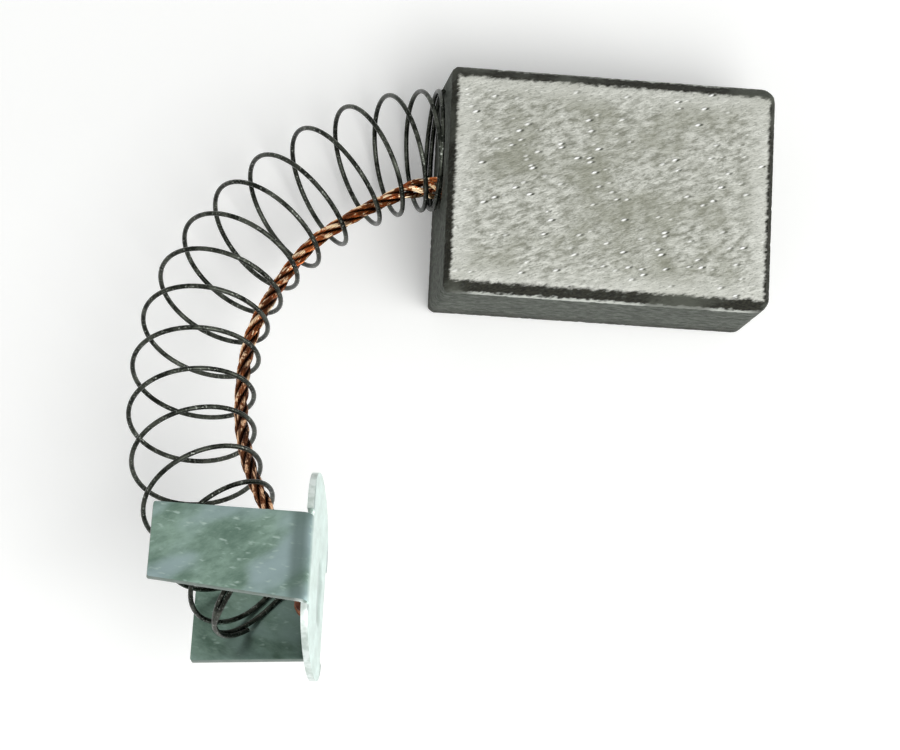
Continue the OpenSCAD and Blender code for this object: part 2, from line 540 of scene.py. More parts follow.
@dataclass(frozen=True)
class Layer:
    """A colour laid over others, where a value runs from one bound to another.

    Attributes:
        value: Node or socket that says where the layer shows.
        start: Value at which it begins to show.
        full: Value at which it shows most, above or below the start.
        colour: Hex colour, node or socket.
        share: How much of it shows at most.
        eased: Whether it fades in and out smoothly.
    """

    value: Source
    start: float
    full: float
    colour: Source | str
    share: float = 1.0
    eased: bool = True


@dataclass(frozen=True)
class Finish:
    """A named material and the name of the slot that it stands for."""

    name: str
    slot: str

    def material(self) -> bpy.types.Material:
        """Makes the material on first use.

        Returns:
            The material, the same one on every call.
        """
        made = bpy.data.materials.get(self.name)
        if made is not None:
            return made
        made = bpy.data.materials.new(self.name)
        made.use_nodes = True
        tree = made.node_tree
        tree.nodes.clear()
        add(tree, "ShaderNodeOutputMaterial", {"Surface": self.shader(tree)})
        return made

    def shader(self, tree: bpy.types.NodeTree) -> bpy.types.Node:
        """Builds the material's nodes.

        Args:
            tree: The material's empty tree.

        Returns:
            The shader node for the surface.
        """
        raise NotImplementedError

    @staticmethod
    def in_millimetres(tree: bpy.types.NodeTree) -> bpy.types.Node:
        """Object coordinates, in millimetres."""
        place = add(tree, "ShaderNodeTexCoord").outputs["Object"]
        return add(tree, VECTOR, {0: place, "Scale": 1 / MM}, operation="SCALE")

    @staticmethod
    def laid(tree: bpy.types.NodeTree, base: Source | str, *layers: Layer) -> Source:
        """Lays colours over a base, the last on top.

        Args:
            tree: The material's tree.
            base: Hex colour, node or socket underneath.
            layers: The colours over it, in order.

        Returns:
            The node with the final colour.
        """
        top = base
        for layer in layers:
            span = {
                "Value": layer.value,
                "From Min": layer.start,
                "From Max": layer.full,
                "To Max": layer.share,
            }
            kind = STEEP if layer.eased else "LINEAR"
            shown = add(tree, RANGE, span, interpolation_type=kind)
            colours = {"Factor": shown, "A": top, "B": layer.colour}
            top = add(tree, MIX, colours, data_type="RGBA")
        return top


@dataclass(frozen=True)
class GroundGraphite(Finish):
    """Electrographite, pressed and then ground on its broad faces.

    Grinding smears the graphite: the broad faces turn pale and silvery, with
    short flakes laid slantwise, each with a painted glint and a painted shadow
    beside it, and darker, olive patches between. The rims of those faces are
    palest and the chamfers nearly black. The side walls carry painted shade
    towards the bottom, and a thin painted highlight runs under the upper long
    edges.
    """

    name: str = "electrographite_ground"
    slot: str = "carbon_graphite"
    length: float = 24.0
    width: float = 16.8
    thick: float = 10.0
    chamfer_long: float = 0.7
    chamfer_end: float = 0.35
    slant: float = 22.0

    def zones(
        self, tree: bpy.types.NodeTree, place: Source, wander: Source
    ) -> dict[str, Source]:
        """Finds how far each point lies from the block's edges, in millimetres.

        Args:
            tree: The material's tree.
            place: Object coordinates in millimetres.
            wander: Noise about zero that frays the edge of the chamfers.

        Returns:
            `level`, the height; `under`, the depth below the nearer broad face;
            `to_long` and `to_end`, from the nearer long and end wall; `to_rim`,
            the lesser of the two; `ragged`, above zero on a chamfer.
        """
        put = partial(add, tree)
        axes = put(AXES, {0: place})
        up = put(MATH, {0: axes.outputs["Z"]}, operation="ABSOLUTE")
        out = put(MATH, {0: axes.outputs["Y"]}, operation="ABSOLUTE")
        centred = put(MATH, {0: axes.outputs["X"], 1: self.length / 2}, operation="ADD")
        along = put(MATH, {0: centred}, operation="ABSOLUTE")
        to_long = put(MATH, {0: self.width / 2, 1: out}, operation="SUBTRACT")
        to_end = put(MATH, {0: self.length / 2, 1: along}, operation="SUBTRACT")
        to_rim = put(MATH, {0: to_long, 1: to_end}, operation="MINIMUM")
        under = put(MATH, {0: self.thick / 2, 1: up}, operation="SUBTRACT")
        cuts = []
        for gap, chamfer in ((to_long, self.chamfer_long), (to_end, self.chamfer_end)):
            both = put(MATH, {0: under, 1: gap}, operation="ADD")
            cuts.append(put(MATH, {0: chamfer, 1: both}, operation="SUBTRACT"))
        cut = put(MATH, {0: cuts[0], 1: cuts[1]}, operation="MAXIMUM")
        frayed = put(
            RANGE, {"Value": under, "From Min": 0.6, "From Max": 0.25, "To Max": 0.6}
        )
        ragged = put(MATH, {0: wander, 1: frayed, 2: cut}, operation="MULTIPLY_ADD")
        return {
            "level": axes.outputs["Z"],
            "under": under,
            "to_long": to_long,
            "to_end": to_end,
            "to_rim": to_rim,
            "ragged": ragged,
        }

    def painted_glint_flakes(
        self, tree: bpy.types.NodeTree, laid: Source, ground: Source
    ) -> tuple[Source, Source]:
        """Sets flakes that lie proud: each has a painted glint, with a painted shadow
        beside it.

        Args:
            tree: The material's tree.
            laid: Coordinates along and across the grinding marks.
            ground: Colour of the ground face.

        Returns:
            The colour with the flakes on it, and how much of a flake's painted glint is
            there.
        """
        put = partial(add, tree)
        painted_light_mask = None
        # The dark colour is the painted shadow beside each flake, the pale one its
        # painted glint.
        for colour, shift in (("#4a4c43", (0.1, -0.09, 0)), ("#fafbf8", (0, 0, 0))):
            moved = put(VECTOR, {0: laid, 1: shift}, operation="SUBTRACT")
            cells = put(CELLS, {"Vector": moved, "Scale": 2.7, "Randomness": 1.0})
            lot = put("ShaderNodeSeparateColor", {"Color": cells.outputs["Color"]})
            # About one cell in three has a flake, and few have a bright one.
            drawn = put(
                RANGE, {"Value": lot.outputs["Red"], "From Min": 0.66, "From Max": 0.95}
            )
            near = put(
                RANGE,
                {"Value": cells.outputs["Distance"], "From Min": 0.34, "From Max": 0.1},
                interpolation_type=STEEP,
            )
            painted_light_mask = put(MATH, {0: drawn, 1: near}, operation="MULTIPLY")
            faces = {"Factor": painted_light_mask, "A": ground, "B": colour}
            ground = put(MIX, faces, data_type="RGBA")
        return ground, painted_light_mask

    def painted_edge_highlight(
        self,
        tree: bpy.types.NodeTree,
        at: dict[str, Source],
        wander: Source,
        patches: Source,
    ) -> Source:
        """Finds the painted highlight: a bright line on the upper edge between chamfer
        and long wall.

        It is 0.3 mm wide, fades towards the block's ends and is broken in places.

        Args:
            tree: The material's tree.
            at: What `zones` returns.
            wander: Noise about zero that makes the line uneven.
            patches: Slow noise that breaks it.

        Returns:
            How much of the line is there, from 0 to 1.
        """
        put = partial(add, tree)
        beside = put(
            MATH, {0: at["under"], 1: self.chamfer_long + 0.04}, operation="SUBTRACT"
        )
        ridge = put(MATH, {0: beside}, operation="ABSOLUTE")
        uneven = put(MATH, {0: wander, 1: 0.45, 2: ridge}, operation="MULTIPLY_ADD")
        painted_highlight = put(
            RANGE,
            {"Value": uneven, "From Min": 0.24, "From Max": 0.06, "To Max": 0.95},
            interpolation_type=STEEP,
        )
        broken = put(
            RANGE,
            {"Value": patches, "From Min": 0.62, "From Max": 0.45, "To Min": 0.3},
            interpolation_type=STEEP,
        )
        on_wall = put(RANGE, {"Value": at["to_long"], "From Min": 0.4, "From Max": 0.2})
        on_top = put(RANGE, {"Value": at["level"], "From Min": -1.0})
        inward = put(RANGE, {"Value": at["to_end"], "From Min": 0.2, "From Max": 2.0})
        for share in (on_wall, on_top, inward, broken):
            painted_highlight = put(MATH, {0: painted_highlight, 1: share}, operation="MULTIPLY")
        return painted_highlight

    def shader(self, tree: bpy.types.NodeTree) -> bpy.types.Node:
        """Builds the material's nodes.

        Args:
            tree: The material's empty tree.

        Returns:
            The shader node for the surface.
        """
        put = partial(add, tree)
        place = self.in_millimetres(tree)
        # Strokes of 1 by 0.4 mm: real grinding marks are finer, and are drawn
        # this coarse so that they show.
        turn = (0, 0, math.radians(self.slant))
        laid = put(
            "ShaderNodeMapping",
            {"Vector": place, "Rotation": turn, "Scale": (2.3, 1, 1)},
            vector_type="TEXTURE",
        )
        strokes = put(
            NOISE, {"Vector": laid, "Scale": 2.4, "Detail": 5.0, "Roughness": 0.72}
        )
        fine = put(NOISE, {"Vector": laid, "Scale": 8.0, "Detail": 2.0})
        patches = put(
            NOISE, {"Vector": place, "Scale": 0.2, "Detail": 4.0, "Roughness": 0.6}
        )
        frays = put(NOISE, {"Vector": laid, "Scale": 4.5, "Detail": 2.0})
        wander = put(MATH, {0: frays, 1: 0.5}, operation="SUBTRACT")
        at = self.zones(tree, place, wander)
        loose_rim = put(
            MATH, {0: patches, 1: -3.0, 2: at["to_rim"]}, operation="MULTIPLY_ADD"
        )

        # Ground face: strokes, olive patches, a paler rim, pores, and flakes with a
        # painted glint and a painted shadow.
        ground = self.laid(
            tree,
            "#828378",
            Layer(strokes, 0.32, 0.65, "#cacbc3"),
            Layer(patches, 0.42, 0.66, "#868778", share=0.75),
            Layer(loose_rim, 1.2, -0.6, "#d3d4cd", share=0.55),
            Layer(fine, 0.44, 0.3, "#72746a", share=0.5),
        )
        ground, painted_light_mask = self.painted_glint_flakes(tree, laid, ground)

        # Nearly black chamfers, lighter in patches 5 mm across.
        dark_chamfer_and_shade = self.laid(
            tree,
            "#15150f",
            Layer(fine, 0.35, 0.65, "#2b2b22"),
            Layer(patches, 0.5, 0.68, "#5a5d54", share=0.7),
        )
        # Side walls as pressed, with painted shade low down, and then each zone in its
        # place.
        whole = self.laid(
            tree,
            "#3d413a",
            Layer(strokes, 0.35, 0.68, "#62675f"),
            # Darker towards the bottom of the walls: painted shade.
            Layer(at["level"], -1.8, -4.2, dark_chamfer_and_shade, share=0.75),
            Layer(at["under"], 0.05, 0.01, ground, eased=False),
            Layer(at["ragged"], -0.3, 0.0, dark_chamfer_and_shade),
        )
        # The bright line under the upper long edges is a painted highlight.
        painted_highlight = self.painted_edge_highlight(tree, at, wander, patches)
        mix = {"Factor": painted_highlight, "A": whole, "B": "#cdd0c8"}
        colour = put(MIX, mix, data_type="RGBA")

        relief = put(MATH, {0: strokes, 1: painted_light_mask}, operation="ADD")
        height = put(MATH, {0: fine, 1: 0.5, 2: relief}, operation="MULTIPLY_ADD")
        bump = put(BUMP, {"Height": height, "Strength": 0.8, "Distance": 0.00008})
        # Pressed walls and dark chamfers are matt; only the ground face shines.
        on_broad = put(RANGE, {"Value": at["under"], "From Min": 0.05, "From Max": 0.01})
        smear = put(RANGE, {"Value": on_broad, "To Min": 0.0, "To Max": 0.35})
        ground_rough = put(
            RANGE,
            {
                "Value": strokes,
                "From Min": 0.3,
                "From Max": 0.7,
                "To Min": 0.62,
                "To Max": 0.42,
            },
        )
        matt = put(RANGE, {"Value": on_broad, "To Min": 0.2, "To Max": 0.0})
        rough = put(MATH, {0: ground_rough, 1: matt}, operation="ADD")
        return put(
            SURFACE,
            {
                "Base Color": colour,
                "Metallic": smear,
                "Specular IOR Level": 0.25,
                "Roughness": rough,
                "Normal": bump,
            },
        )


@dataclass(frozen=True)
class StrandedCopper(Finish):
    """Bare soft copper wire, bunched and laid, with oxide in the grooves.

    The crowns of the strands carry painted highlights in cream and pale orange;
    the grooves are nearly black, with oxide and painted shade. It browns
    towards the weld.
    """

    name: str = "soft_copper_wire"
    slot: str = "copper_strand"

    def shader(self, tree: bpy.types.NodeTree) -> bpy.types.Node:
        """Builds the material's nodes.

        Args:
            tree: The material's empty tree.

        Returns:
            The shader node for the surface.
        """
        put = partial(add, tree)
        place = self.in_millimetres(tree)
        tone = put("ShaderNodeAttribute", attribute_name="tone").outputs["Fac"]
        depth = put("ShaderNodeAttribute", attribute_name="from_core").outputs["Fac"]
        # Stains of 1.4 mm, and dashes of 0.6 mm that place the painted highlights.
        stain = put(
            NOISE, {"Vector": place, "Scale": 0.7, "Detail": 4.0, "Roughness": 0.65}
        )
        dashes = put(
            NOISE, {"Vector": place, "Scale": 1.6, "Detail": 2.0, "Roughness": 0.6}
        )
        down = put(AXES, {0: place}).outputs["Y"]
        # Browner and darker lower down, towards the weld.
        towards_weld = put(RANGE, {"Value": down, "From Min": -6.0, "From Max": -22.0})
        # pale holds the colours of the painted highlights.
        clean, browner, pale = (
            put(MIX, {"Factor": share, "A": low, "B": high}, data_type="RGBA")
            for share, low, high in (
                (tone, "#853f1f", "#c97640"),
                (tone, "#4d2c1a", "#7f5136"),
                (towards_weld, "#ffe6c0", "#e9bd97"),
            )
        )
        aged = put(MIX, {"Factor": towards_weld, "A": clean, "B": browner}, data_type="RGBA")
        dull = self.laid(tree, aged, Layer(stain, 0.44, 0.62, "#3f2416", share=0.8))
        # Nearly black between the wires: oxide, with painted shade in the grooves.
        oxide_and_shaded_grooves = self.laid(tree, "#1f0f08", Layer(depth, 0.34, 0.47, dull))
        dashed = put(
            RANGE,
            {"Value": dashes, "From Min": 0.46, "From Max": 0.54},
            interpolation_type=STEEP,
        )
        highest = put(RANGE, {"Value": depth, "From Min": 0.43, "From Max": 0.48})
        chosen = put(RANGE, {"Value": tone, "From Min": 0.2, "From Max": 0.45})
        high = put(MATH, {0: highest, 1: chosen}, operation="MULTIPLY")
        # Painted highlights on the crowns of some wires, in the pale colours.
        painted_highlight = put(MATH, {0: dashed, 1: high}, operation="MULTIPLY")
        colour = put(MIX, {"Factor": painted_highlight, "A": oxide_and_shaded_grooves, "B": pale}, data_type="RGBA")
        rough = put(
            RANGE,
            {
                "Value": stain,
                "From Min": 0.4,
                "From Max": 0.65,
                "To Min": 0.2,
                "To Max": 0.42,
            },
        )
        return put(
            SURFACE,
            {"Base Color": colour, "Metallic": 1.0, "Roughness": rough},
        )


@dataclass(frozen=True)
class WeldedCopper(Finish):
    """Copper strand flattened and welded: heat-stained brown to purple."""

    name: str = "resistance_welded_copper"
    slot: str = "copper_weld"

    def shader(self, tree: bpy.types.NodeTree) -> bpy.types.Node:
        """Builds the material's nodes.

        Args:
            tree: The material's empty tree.

        Returns:
            The shader node for the surface.
        """
        put = partial(add, tree)
        # Scorch marks of 0.8 mm.
        scorch = put(
            NOISE, {"Vector": self.in_millimetres(tree), "Scale": 1.2, "Detail": 4.0}
        )
        colour = self.laid(tree, "#4a2a20", Layer(scorch, 0.35, 0.65, "#9a6040"))
        bump = put(BUMP, {"Height": scorch, "Strength": 0.5, "Distance": 0.00008})
        return put(
            SURFACE,
            {"Base Color": colour, "Metallic": 0.9, "Roughness": 0.4, "Normal": bump},
        )


@dataclass(frozen=True)
class TampedPowder(Finish):
    """Copper powder tamped round the strands: matt, brown and granular."""

    name: str = "tamped_copper_powder"
    slot: str = "copper_powder"

    def shader(self, tree: bpy.types.NodeTree) -> bpy.types.Node:
        """Builds the material's nodes.

        Args:
            tree: The material's empty tree.

        Returns:
            The shader node for the surface.
        """
        put = partial(add, tree)
        # Grains of 0.1 mm.
        grit = put(CELLS, {"Vector": self.in_millimetres(tree), "Scale": 9.0})
        colour = self.laid(tree, "#7a4a2e", Layer(grit, 0.15, 0.6, "#2f1c13"))
        bump = put(BUMP, {"Height": grit, "Strength": 0.8, "Distance": 0.00005})
        return put(
            SURFACE,
            {"Base Color": colour, "Metallic": 0.5, "Roughness": 0.75, "Normal": bump},
        )


@dataclass(frozen=True)
class SpringSteel(Finish):
    """Hard-drawn spring wire, oiled and nearly black, with a thin drawn sheen."""

    name: str = "hard_drawn_spring_steel"
    slot: str = "spring_steel"

    def shader(self, tree: bpy.types.NodeTree) -> bpy.types.Node:
        """Builds the material's nodes.

        Args:
            tree: The material's empty tree.

        Returns:
            The shader node for the surface.
        """
        put = partial(add, tree)
        place = self.in_millimetres(tree)
        # Patches of oil of 1 mm, and rubbed specks of 0.15 mm.
        oil = put(NOISE, {"Vector": place, "Scale": 0.9, "Detail": 4.0, "Roughness": 0.6})
        specks = put(NOISE, {"Vector": place, "Scale": 6.0, "Detail": 2.0})
        colour = self.laid(
            tree,
            "#1a1d18",
            Layer(oil, 0.38, 0.66, "#454841"),
            Layer(specks, 0.57, 0.74, "#a2a69f", share=0.6),
        )
        rough = put(
            RANGE,
            {
                "Value": oil,
                "From Min": 0.35,
                "From Max": 0.7,
                "To Min": 0.22,
                "To Max": 0.4,
            },
        )
        return put(
            SURFACE,
            {"Base Color": colour, "Metallic": 0.9, "Roughness": rough},
        )


@dataclass(frozen=True)
class ZincPlate(Finish):
    """Steel strip with bright zinc electroplate and a pale green passivate.

    The plating is cloudy sage with small pale flecks; it mirrors a pale room
    softly, most of all at a glancing angle. The plate is painted paler, a
    painted reflection; the bend has a band of painted shade, the legs a painted
    highlight towards it, and the inside of the fold darker colours, also a
    painted shade.
    """

    name: str = "zinc_plated_steel_strip"
    slot: str = "zinc_plated_sheet"
    deep: str = "#5f786b"
    pale: str = "#8ca598"
    fleck: str = "#b4c9c0"
    blue: str = "#93a6aa"
    # The plate's paler colours and their share are a painted reflection.
    plate: str = "#e3f4ef"
    plate_sheen_deep: str = "#c2d5ce"
    plate_sheen_share: float = 0.9
    # The colour of the painted shade in the bend.
    bend: str = "#3d5047"
    bend_mid: float = 5.5
    mark: str = "#5d6b64"
    mark_mid: tuple[float, float] = (-1.2, 0.2)
    mark_len: float = 2.4
    mark_share: float = 0.34
    wipe: float = -30.0

    def mark_gap(self, tree: bpy.types.NodeTree, axes: bpy.types.Node) -> Source:
        """Distance from the middle of the welding electrode's mark, a slot.

        Args:
            tree: The material's tree.
            axes: Separated coordinates on the flat strip.

        Returns:
            The distance in millimetres.
        """
        put = partial(add, tree)
        across, upright = (
            put(MATH, {0: axes.outputs[axis], 1: middle}, operation="SUBTRACT")
            for axis, middle in zip("XY", self.mark_mid)
        )
        height = put(MATH, {0: upright}, operation="ABSOLUTE")
        past = put(MATH, {0: height, 1: self.mark_len / 2}, operation="SUBTRACT")
        beyond = put(MATH, {0: past, 1: 0.0}, operation="MAXIMUM")
        spot = put("ShaderNodeCombineXYZ", {"X": across, "Y": beyond})
        return put(VECTOR, {0: spot}, operation="LENGTH")

    def shader(self, tree: bpy.types.NodeTree) -> bpy.types.Node:
        """Builds the material's nodes.

        Args:
            tree: The material's empty tree.

        Returns:
            The shader node for the surface.
        """
        put = partial(add, tree)
        # The flat strip before folding, in millimetres. Its haze, in clouds of
        # 1.7 mm, is wiped slantwise, and its flecks are 0.3 mm across.
        strip = put("ShaderNodeUVMap", uv_map="strip")
        turn = (0, 0, math.radians(self.wipe))
        wiped = put(
            "ShaderNodeMapping",
            {"Vector": strip, "Rotation": turn, "Scale": (2.0, 1, 1)},
            vector_type="TEXTURE",
        )
        haze = put(
            NOISE, {"Vector": wiped, "Scale": 0.6, "Detail": 6.0, "Roughness": 0.7}
        )
        sheen = put(NOISE, {"Vector": wiped, "Scale": 0.3, "Detail": 2.0})
        dragged = put(VECTOR, {0: strip, 1: (0.4, 1, 1)}, operation="MULTIPLY")
        flecks = put(NOISE, {"Vector": dragged, "Scale": 3.0, "Detail": 2.0})
        axes = put(AXES, {0: strip})
        off = put(MATH, {0: axes.outputs["X"]}, operation="ABSOLUTE")
        # The legs are bluer and paler towards the bend: a painted highlight.
        painted_highlight_to_bend = put(
            RANGE, {"Value": off, "From Min": 11.0, "From Max": 6.5, "To Max": 0.14}
        )
        blue_patches_and_highlight = put(MATH, {0: sheen, 1: painted_highlight_to_bend}, operation="ADD")
        from_bend = put(MATH, {0: off, 1: self.bend_mid}, operation="SUBTRACT")
        bend_gap = put(MATH, {0: from_bend}, operation="ABSOLUTE")
        mark_gap = self.mark_gap(tree, axes)
        plate_sheen = self.laid(
            tree, self.plate_sheen_deep, Layer(haze, 0.35, 0.65, self.plate, eased=False)
        )
        # The plate is palest, a painted reflection on the same plating. The band
        # where the sheet was bent is darker, a painted shade. The plating is dull
        # under the electrode, opposite the weld.
        colour = self.laid(
            tree,
            self.deep,
            Layer(haze, 0.3, 0.7, self.pale),
            # Random blue patches, with the painted highlight near the bend.
            Layer(blue_patches_and_highlight, 0.48, 0.68, self.blue, share=0.8),
            Layer(flecks, 0.58, 0.78, self.fleck, share=0.65),
            # The plate painted paler: a painted reflection.
            Layer(off, 4.7, 4.2, plate_sheen, share=self.plate_sheen_share, eased=False),
            # Painted shade in the band where the sheet was bent.
            Layer(bend_gap, 0.9, 0.15, self.bend, share=0.55),
            Layer(mark_gap, 1.45, 0.7, self.mark, share=self.mark_share),
        )
        ripple = put(NOISE, {"Vector": strip, "Scale": 0.9, "Detail": 3.0})
        bump = put(BUMP, {"Height": ripple, "Strength": 0.2, "Distance": 0.00005})
        rough = put(
            RANGE,
            {
                "Value": haze,
                "From Min": 0.3,
                "From Max": 0.7,
                "To Min": 0.3,
                "To Max": 0.44,
            },
        )
        return put(
            SURFACE,
            {"Base Color": colour, "Metallic": 0.85, "Roughness": rough, "Normal": bump},
        )


@dataclass(frozen=True)
class ShearedEdge(Finish):
    """Cut edge of the strip: bare steel, dragged smooth by the shear.

    The plate's edges are bright; the legs' are painted darker grey, a painted shade.
    """

    name: str = "sheared_steel_edge"
    slot: str = "zinc_plated_sheet"

    def shader(self, tree: bpy.types.NodeTree) -> bpy.types.Node:
        """Builds the material's nodes.

        Args:
            tree: The material's empty tree.

        Returns:
            The shader node for the surface.
        """
        put = partial(add, tree)
        # Drag marks of 0.6 mm.
        drag = put(
            NOISE, {"Vector": self.in_millimetres(tree), "Scale": 1.6, "Detail": 3.0}
        )
        strip = put("ShaderNodeUVMap", uv_map="strip")
        axes = put(AXES, {0: strip})
        off = put(MATH, {0: axes.outputs["X"]}, operation="ABSOLUTE")
        colour = self.laid(
            tree,
            "#c6d3cd",
            Layer(drag, 0.35, 0.6, "#e2ebe8"),
            # Darker grey on the legs' edges: painted shade.
            Layer(off, 4.9, 5.6, "#4f5e56", share=0.85, eased=False),
        )
        return put(
            SURFACE,
            {"Base Color": colour, "Metallic": 0.85, "Roughness": 0.36},
        )


@dataclass(frozen=True)
class PaleFloor(Finish):
    """Matt white card under the part."""

    name: str = "matt_white_card"
    slot: str = ""

    def shader(self, tree: bpy.types.NodeTree) -> bpy.types.Node:
        """Builds the material's nodes.

        Args:
            tree: The material's empty tree.

        Returns:
            The shader node for the surface.
        """
        put = partial(add, tree)
        path = put("ShaderNodeLightPath").outputs
        rays = {0: path["Is Camera Ray"], 1: path["Is Glossy Ray"]}
        seen = put(MATH, rays, operation="MAXIMUM")
        return put(
            SURFACE,
            {
                "Base Color": "#f6f6f4",
                "Roughness": 0.9,
                "Specular IOR Level": 0.1,
                "Emission Color": "#ffffff",
                "Emission Strength": put(MATH, {0: seen, 1: 0.2}, operation="MULTIPLY"),
            },
        )


# ---------------------------------------------------------------------- pieces


@dataclass
class CarbonBlock:
    """Brush block: rounded plan, chamfered edges and a blind hole for the shunt."""

    length: float = 24.0
    width: float = 16.8
    thick: float = 10.0
    chamfer_long: float = 0.7
    chamfer_end: float = 0.35
    corner_contact: float = 1.0
    corner_spring: float = 0.5
    hole_dia: float = 2.6
    hole_depth: float = 7.0
    edge_soft: float = 0.03
    face_insets: tuple[float, float] = (0.05, 0.6)
    chip_depth: float = 0.07
    chip_reach: float = 0.25
    chip_walls: float = 0.3
    chip_from: float = 0.05
    chip_most: float = 0.7
    least_corner: float = 0.12
    corner_points: int = 7
    step: float = 0.22
    wall_step: float = 0.55
    sink: float = 0.35
    relief: float = 0.12
    drill_sides: int = 64
    finish: Finish = GroundGraphite()

    def outline(self, inset_x: float, inset_y: float) -> np.ndarray:
        """Points round the plan, drawn in by an inset from each wall.

        Args:
            inset_x: How far the end walls are drawn in.
            inset_y: How far the long walls are drawn in.

        Returns:
            Points (x, y), counter-clockwise, always the same number.
        """
        x0, x1 = inset_x - self.length, -inset_x
        y1 = self.width / 2 - inset_y
        inset = max(inset_x, inset_y)
        radius = {
            x1: max(self.corner_contact - inset, self.least_corner),
            x0: max(self.corner_spring - inset, self.least_corner),
        }
        arcs = []
        for x, y, start in ((x1, -y1, -90), (x1, y1, 0), (x0, y1, 90), (x0, -y1, 180)):
            r = radius[x]
            cx = x - math.copysign(r, x - (x0 + x1) / 2)
            cy = y - math.copysign(r, y)
            angles = np.radians(start + np.linspace(0, 90, self.corner_points))
            arcs.append(np.stack([cx + r * np.cos(angles), cy + r * np.sin(angles)], 1))
        points: list[np.ndarray] = []
        for i, arc in enumerate(arcs):
            span = self.width if i % 2 == 0 else self.length
            share = np.linspace(0, 1, round(span / self.step) + 1)[1:-1, None]
            points += [arc, arc[-1] * (1 - share) + arcs[(i + 1) % 4][0] * share]
        return np.vstack(points)

    def inset(self, z: float, chamfer: float) -> float:
        """How far a wall stands in at height z, with softened edges."""
        past = abs(z) - (self.thick / 2 - chamfer)
        return (past + math.hypot(past, 2 * self.edge_soft)) / 2

    def levels(self) -> list[float]:
        """Heights of the rings, close together at the edges.

        Returns:
            Heights in millimetres, from the lowest up.
        """
        top, soft = self.thick / 2, self.edge_soft
        upper = [
            *np.arange(0, top - self.chamfer_long - 4 * soft, self.wall_step),
            top - self.chamfer_long - 2 * soft,
            top - self.chamfer_long,
            top - self.chamfer_long + 2 * soft,
            top - (self.chamfer_long + self.chamfer_end) / 2,
            top - self.chamfer_end - 2 * soft,
            top - self.chamfer_end,
            top - self.chamfer_end + 2 * soft,
            top - self.chamfer_end / 2,
            top - 1.5 * soft,
            top - 0.4 * soft,
        ]
        return [-z for z in upper[:0:-1]] + list(upper)

    def chipped(self, rows: np.ndarray) -> np.ndarray:
        """Knocks the edges in with small dents.

        Args:
            rows: Vertices in millimetres.

        Returns:
            The vertices, moved inwards where the edge is chipped.
        """
        middle = np.array([-self.length / 2, 0, 0])
        half = np.array([self.length, self.width, self.thick]) / 2
        out = rows.copy()
        for i, p in enumerate(rows):
            gap = np.sort(half - np.abs(p - middle))
            if gap[1] > self.chamfer_long + self.chip_reach:
                continue
            rough = noise.noise(Vector(p) * 2.6) + 0.5 * noise.noise(Vector(p) * 6.1)
            if rough > self.chip_from:
                pull = self.chip_depth * min(rough - self.chip_from, self.chip_most)
                out[i] = p - pull * np.sign(p - middle) * (gap.max() > gap) * (
                    half - np.abs(p - middle) < self.chamfer_long + self.chip_walls
                )
        return out

    def build(self) -> bpy.types.Object:
        """Skins the rings, closes the broad faces and drills the hole.

        Returns:
            The block.
        """
        rings = []
        top = self.thick / 2
        cuts = (self.chamfer_end, self.chamfer_long)
        plan = [(z, *(self.inset(z, cut) for cut in cuts)) for z in self.levels()]
        for extra in self.face_insets:
            cap = (self.chamfer_end + extra, self.chamfer_long + extra)
            plan = [(-top, *cap), *plan, (top, *cap)]
        for z, ix, iy in plan:
            ring = self.outline(ix, iy)
            rings.append(np.column_stack([ring, np.full(len(ring), z)]))
        count = len(rings[0])
        rows = self.chipped(np.vstack(rings))
        faces = quads(len(rings), count)
        faces.append(list(range(count - 1, -1, -1)))
        faces.append([(len(rings) - 1) * count + j for j in range(count)])
        block = mesh_object("ground_block", rows, faces)
        cutter = self.drill()
        cut = block.modifiers.new("hole", "BOOLEAN")
        cut.operation, cut.solver, cut.object = "DIFFERENCE", "EXACT", cutter
        made_plain(block)
        bpy.data.objects.remove(cutter)
        return hand_over(smoothed(block, 30), self.finish, ("carbon_block",))

    def drill(self) -> bpy.types.Object:
        """Drill with a small countersink, as a cutter.

        Returns:
            The cutter, a closed mesh.
        """
        r, sides = self.hole_dia / 2, self.drill_sides
        deep = self.hole_depth
        sink = r + self.sink
        profile = [(-1.0, sink), (-0.05, r + self.relief), (self.relief, r), (deep, r)]
        angles = np.linspace(0, 2 * math.pi, sides, endpoint=False)
        rows = [[x, q * math.cos(a), q * math.sin(a)] for x, q in profile for a in angles]
        rows += [[profile[0][0], 0, 0], [deep + 0.5, 0, 0]]
        faces = quads(len(profile), sides)
        last = (len(profile) - 1) * sides
        faces += [[len(rows) - 2, (j + 1) % sides, j] for j in range(sides)]
        faces += [[len(rows) - 1, last + j, last + (j + 1) % sides] for j in range(sides)]
        placed = np.array(rows) - (self.length, 0, 0)
        return turned_out(mesh_object("drill", placed, faces))


@dataclass
class TampedFilling:
    """Copper powder tamped into the hole round the strands."""

    mouth: float = -23.5
    radius: float = 1.3
    depth: float = 6.5
    crown: float = 0.15
    rough: float = 0.1
    pitch: float = 3.3
    rings: int = 9
    sides: int = 40
    finish: Finish = TampedPowder()

    def build(self) -> bpy.types.Object:
        """Lays a rough crown on a plain plug.

        Returns:
            The plug.
        """
        angles = np.linspace(0, 2 * math.pi, self.sides, endpoint=False)
        way = np.stack([np.cos(angles), np.sin(angles)], 1)
        rows: list[list[float]] = [[self.mouth, 0, 0]]
        for k in range(1, self.rings + 1):
            share = k / self.rings
            for y, z in way * self.radius * share:
                lump = abs(noise.noise(Vector((y, z, 0)) * self.pitch))
                lift = self.rough * lump if k < self.rings else 0
                rows.append([self.mouth + self.crown * (1 - share) + lift, y, z])
        rows += [[self.mouth + self.depth, y, z] for y, z in way * self.radius]
        faces = [[0, 1 + (j + 1) % self.sides, 1 + j] for j in range(self.sides)]
        faces += quads(self.rings + 1, self.sides, first=1)
        last = 1 + self.rings * self.sides
        faces.append([last + j for j in range(self.sides)])
        plug = mesh_object("powder_plug", np.array(rows), faces)
        return hand_over(smoothed(plug), self.finish, ("tamped_filling",))


